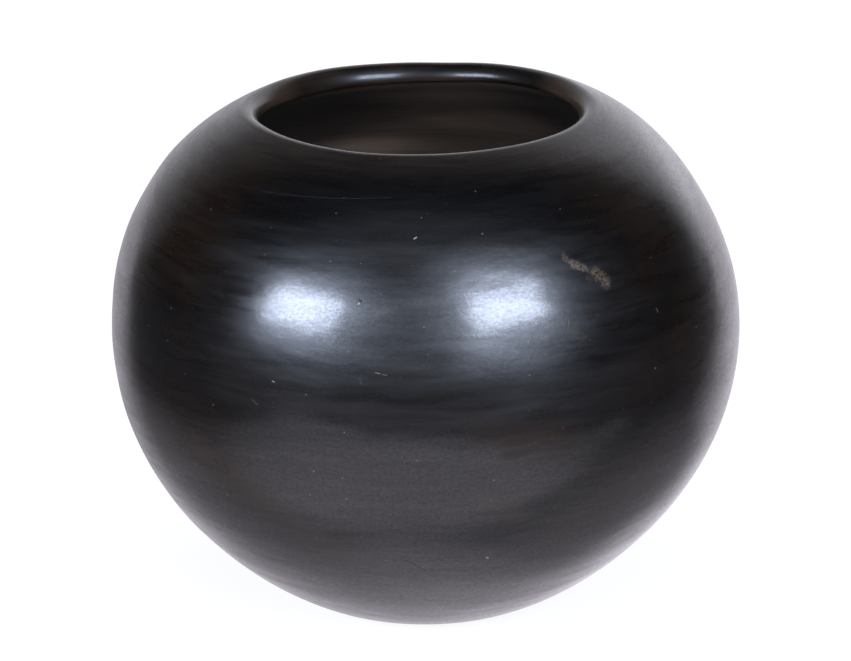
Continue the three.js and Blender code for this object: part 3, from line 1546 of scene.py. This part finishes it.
@dataclass(frozen=True)
class PaperSweep:
    """White paper behind the bowl: its edges in radians from straight back, and its brightness.

    The right edge is soft, and the left one fades slowly. The paper fades out upwards.
    """

    right: Fade = Fade(math.radians(58.0), math.radians(28.0))
    left: Fade = Fade(math.radians(-58.0), math.radians(90.0))
    upward: Fade = Fade(1.0, 0.0)
    wall: Colour = rgba(1.85, 1.85, 2.01)

    def spread(self, graph: Graph, turn: Socket, height: Socket) -> Socket:
        """How much of the paper is seen in a direction.

        Args:
            graph: The node tree to write in.
            turn: The angle from straight back in radians, positive to the right.
            height: How far upward the direction points, from -1 to 1.

        Returns:
            A number from 0 beside the paper to 1 on it.
        """
        right = graph.fade(turn, self.right)
        left = graph.fade(turn, self.left, "LINEAR")
        return graph.maths("MULTIPLY", right, left, graph.fade(height, self.upward))


@dataclass(frozen=True)
class Room:
    """What surrounds the bowl: a dim room, white paper behind, haze in front and light from above.

    The light from above falls into the mouth. It fades out between two angles, in degrees from
    straight up, and the gloss doesn't mirror it.
    """

    eye_white: Colour = rgba(1.0, 1.0, 1.0)
    dim: Colour = rgba(0.008, 0.008, 0.009)
    ceiling: Triple = (1.6, 1.65, 1.8)
    ceiling_fade: Fade = Fade(cosine(32.0), cosine(16.0))
    paper: PaperSweep = PaperSweep()
    hazes: tuple[Haze, ...] = (
        Haze(-2.0, 28.0, 68.0, (0.165, 0.175, 0.206)),
        Haze(30.0, 29.0, 33.0, (0.72, 0.82, 1.03)),
        Haze(-36.0, 24.5, 26.0, (1.10, 1.26, 1.64)),
        Haze(29.0, 13.0, 22.0, (0.50, 0.57, 0.74)),
        Haze(-10.0, 24.0, 18.0, (0.22, 0.25, 0.31)),
    )

    def make(self) -> None:
        """Paints the room: white to the eye, and its own light to everything else."""
        world = bpy.data.worlds.new("room")
        bpy.context.scene.world = world
        world.cycles.sampling_method = "NONE"
        graph = Graph(world)
        ray = graph.node("ShaderNodeLightPath").outputs
        way = graph.node("ShaderNodeTexCoord").outputs["Generated"]
        across, back, height = graph.split(way)
        turn = graph.maths("ARCTAN2", across, back)
        light = graph.blend(self.paper.spread(graph, turn, height), self.dim, self.paper.wall)
        glows = []
        for haze in self.hazes:
            near = graph.vector("DOT_PRODUCT", way, tuple(toward(haze.azimuth, haze.elevation)))
            glows.append(graph.scaled(haze.colour, graph.fade(near, Fade(cosine(haze.reach), 1.0))))
        unmirrored = graph.maths("SUBTRACT", 1.0, ray["Is Glossy Ray"])
        above = graph.maths("MULTIPLY", graph.fade(height, self.ceiling_fade), unmirrored)
        light = graph.vector("ADD", light, *glows, graph.scaled(self.ceiling, above))
        shown = graph.blend(ray["Is Camera Ray"], light, self.eye_white)
        sky = graph.node("ShaderNodeBackground", {0: shown, 1: 1.0})
        graph.node("ShaderNodeOutputWorld", {0: sky.outputs[0]})


@dataclass(frozen=True)
class Pool:
    """A pool of light on the table: its centre and half sizes in metres, and its brightness."""

    centre: tuple[float, float]
    half_width: float
    half_depth: float
    level: float


@dataclass(frozen=True)
class Table:
    """The white table top, with pools of light in front of the bowl; lengths are metres.

    The fades from front on say how bright the bowl's gloss sees the table: in front of the bowl,
    near it, in the pools, and on both sides in the glow of the paper behind. The pools end before
    the bowl in a painted shadow.
    """

    half: float = 3.0
    gap: float = 0.00005
    seen: float = 0.9
    eye_white: Colour = rgba(1.0, 1.0, 1.0)
    tint: Colour = rgba(0.99, 0.94, 1.05)
    matt: Colour = rgba(0.8, 0.8, 0.8)
    faint: Colour = rgba(0.2, 0.2, 0.2)
    dark: Colour = rgba(0.0, 0.0, 0.0)
    front: Fade = Fade(-0.1, -0.34, 0.05, 0.14)
    near: Fade = Fade(0.24, 0.05, 0.05, 0.36)
    pools: tuple[Pool, ...] = (
        Pool((-0.015, -0.160), 0.235, 0.20, 0.70),
        Pool((-0.150, -0.240), 0.13, 0.13, 0.54),
        Pool((0.175, -0.105), 0.07, 0.06, 0.3),
    )
    pool_core: float = 0.3
    pool_painted_shadow: Fade = Fade(-0.070, -0.115)
    painted_shadow_slant: float = 0.25
    left_side: Triple = (-1.0, -0.9, 0.0)
    left_glow: Fade = Fade(0.165, 0.055, 0.0, 0.74)
    left_behind: Fade = Fade(0.03, 0.09, 1.0, 0.75)
    right_side: Triple = (1.0, -0.9, 0.0)
    right_glow: Fade = Fade(0.14, 0.05, 0.0, 1.12)
    right_behind: Fade = Fade(0.03, 0.09, 1.0, 0.52)
    far_glow: Fade = Fade(0.24, 0.06, 0.0, 0.85)
    far_behind: Fade = Fade(-0.03, 0.05)
    left_to_right: Fade = Fade(-0.06, 0.06)
    glow_front: Fade = Fade(-0.06, -0.005, 0.66, 1.0)

    def make(self) -> None:
        """Lays the table top."""
        half = self.half
        low = -self.gap
        corners = [(-half, -half, low), (half, -half, low), (half, half, low), (-half, half, low)]
        mesh = bpy.data.meshes.new("table_top")
        mesh.from_pydata(corners, [], [(0, 1, 2, 3)])
        mesh.materials.append(self._finish())
        table = bpy.data.objects.new("table_top", mesh)
        bpy.context.scene.collection.objects.link(table)

    def _mirrored(self, graph: Graph) -> Socket:
        """Lights the table for the bowl's gloss.

        Args:
            graph: The node tree to write in.

        Returns:
            How bright the table looks in the gloss.
        """
        place = graph.node("ShaderNodeNewGeometry").outputs["Position"]
        across, back, _ = graph.split(place)
        levels = [
            graph.fade(back, self.front),
            graph.fade(graph.vector("LENGTH", place), self.near),
        ]
        # The pools fade out close to the bowl: a painted shadow of the bowl, seen only in its gloss
        slant = graph.maths("MULTIPLY", graph.maths("MINIMUM", across, 0.0), self.painted_shadow_slant)
        clear = graph.fade(graph.maths("ADD", back, slant), self.pool_painted_shadow)
        for pool in self.pools:
            halves = (pool.half_width, pool.half_depth, 1.0)
            fade = Fade(1.0, self.pool_core, 0.0, pool.level)
            share = graph.oval(place, (*pool.centre, 0.0), halves, fade)
            levels.append(graph.maths("MULTIPLY", share, clear))
        return graph.maths("MAXIMUM", *levels, self._glow(graph, place, across, back))

    def _glow(self, graph: Graph, place: Socket, across: Socket, back: Socket) -> Socket:
        """The glow of the white paper on the table beside and behind the bowl.

        Args:
            graph: The node tree to write in.
            place: The place on the table.
            across: How far it lies to the right.
            back: How far it lies behind.

        Returns:
            How bright the table looks from the paper.
        """
        out_left = graph.vector("DOT_PRODUCT", place, self.left_side)
        out_right = graph.vector("DOT_PRODUCT", place, self.right_side)
        left, close, far = (
            graph.maths("MULTIPLY", graph.fade(out, glow), graph.fade(back, behind))
            for out, glow, behind in (
                (out_left, self.left_glow, self.left_behind),
                (out_right, self.right_glow, self.right_behind),
                (out_right, self.far_glow, self.far_behind),
            )
        )
        more = graph.maths("SUBTRACT", graph.maths("MAXIMUM", close, far), left)
        more = graph.maths("MULTIPLY", graph.fade(across, self.left_to_right), more)
        both = graph.maths("ADD", left, more)
        return graph.maths("MULTIPLY", both, graph.fade(back, self.glow_front))

    def _finish(self) -> bpy.types.Material:
        """White paper that keeps a faint shadow, and shows the gloss its own light.

        Returns:
            The finished material.
        """
        graph = Graph(bpy.data.materials.new("white_paper"))
        ray = graph.node("ShaderNodeLightPath").outputs
        eye, gloss = ray["Is Camera Ray"], ray["Is Glossy Ray"]
        seen = graph.maths("MULTIPLY", eye, self.seen)
        mirrored = graph.maths("MULTIPLY", gloss, self._mirrored(graph))
        strength = graph.maths("ADD", seen, mirrored)
        tint = graph.blend(eye, self.tint, self.eye_white)
        glow = graph.node("ShaderNodeEmission", {0: tint, 1: strength}).outputs[0]
        matt, faint, dark = (
            graph.node("ShaderNodeBsdfDiffuse", {0: colour}).outputs[0]
            for colour in (self.matt, self.faint, self.dark)
        )
        body = graph.node("ShaderNodeMixShader", {0: eye, 1: matt, 2: faint}).outputs[0]
        body = graph.node("ShaderNodeMixShader", {0: gloss, 1: body, 2: dark}).outputs[0]
        both = graph.node("ShaderNodeAddShader", {0: body, 1: glow}).outputs[0]
        graph.node("ShaderNodeOutputMaterial", {0: both})
        return graph.holder


@dataclass(frozen=True)
class Viewpoint:
    """The camera in front of the bowl, a little above it; the aim's offsets are picture pixels."""

    aim: Triple = (0.0, 0.0, 0.0716)
    distance: float = 0.825
    elevation: float = 19.585
    focal_pixels: float = 3118.7
    aim_right: float = -0.87
    aim_up: float = 8.29
    sensor: float = 36.0

    def make(self) -> None:
        """Stands the camera and points it at the bowl's belly."""
        lens = bpy.data.cameras.new("studio_camera")
        lens.sensor_width = self.sensor
        lens.lens = self.focal_pixels / PHOTO_WIDTH * self.sensor
        lens.shift_x = -self.aim_right / PHOTO_WIDTH
        lens.shift_y = -self.aim_up / PHOTO_WIDTH
        made = bpy.data.objects.new("studio_camera", lens)
        back = toward(0.0, self.elevation)
        made.location = Vector(self.aim) + back * self.distance
        made.rotation_euler = (-back).to_track_quat("-Z", "Y").to_euler()
        bpy.context.scene.collection.objects.link(made)
        bpy.context.scene.camera = made


@dataclass(frozen=True)
class Studio:
    """A white table in a dim room, with a soft box on each side of the camera."""

    boxes: tuple[SoftBox, ...] = (
        SoftBox("left_soft_box", -46.0, 22.7, 0.62, 0.41, 15.0),
        SoftBox("right_soft_box", 31.1, 28.8, 0.645, 0.42, 14.8),
    )
    view: Viewpoint = Viewpoint()

    def set_up(self) -> None:
        """Makes the table, the room, the lamps and the camera."""
        bpy.context.scene.view_settings.view_transform = "Standard"
        Table().make()
        Room().make()
        for box in self.boxes:
            box.place(Vector(self.view.aim))
        self.view.make()


def main() -> None:
    """Builds the bowl and its studio in order."""
    logging.basicConfig(level=logging.INFO, format="%(message)s")
    skin = Skin(ClaySizes(), LipRoll(), HandWork())
    bare = WipedClay().make()
    finishes = {
        Cut.OUTSIDE: BurnishedSlip().make(),
        Cut.LIP: SmoothedLip().make(),
        Cut.INSIDE: bare,
        Cut.JOINT: bare,
    }
    wall = ClayWall(skin, finishes)
    for piece in wall.build():
        LOG.info("%s: %d faces", piece.name, len(piece.data.polygons))
    Studio().set_up()


if __name__ == "__main__":
    main()
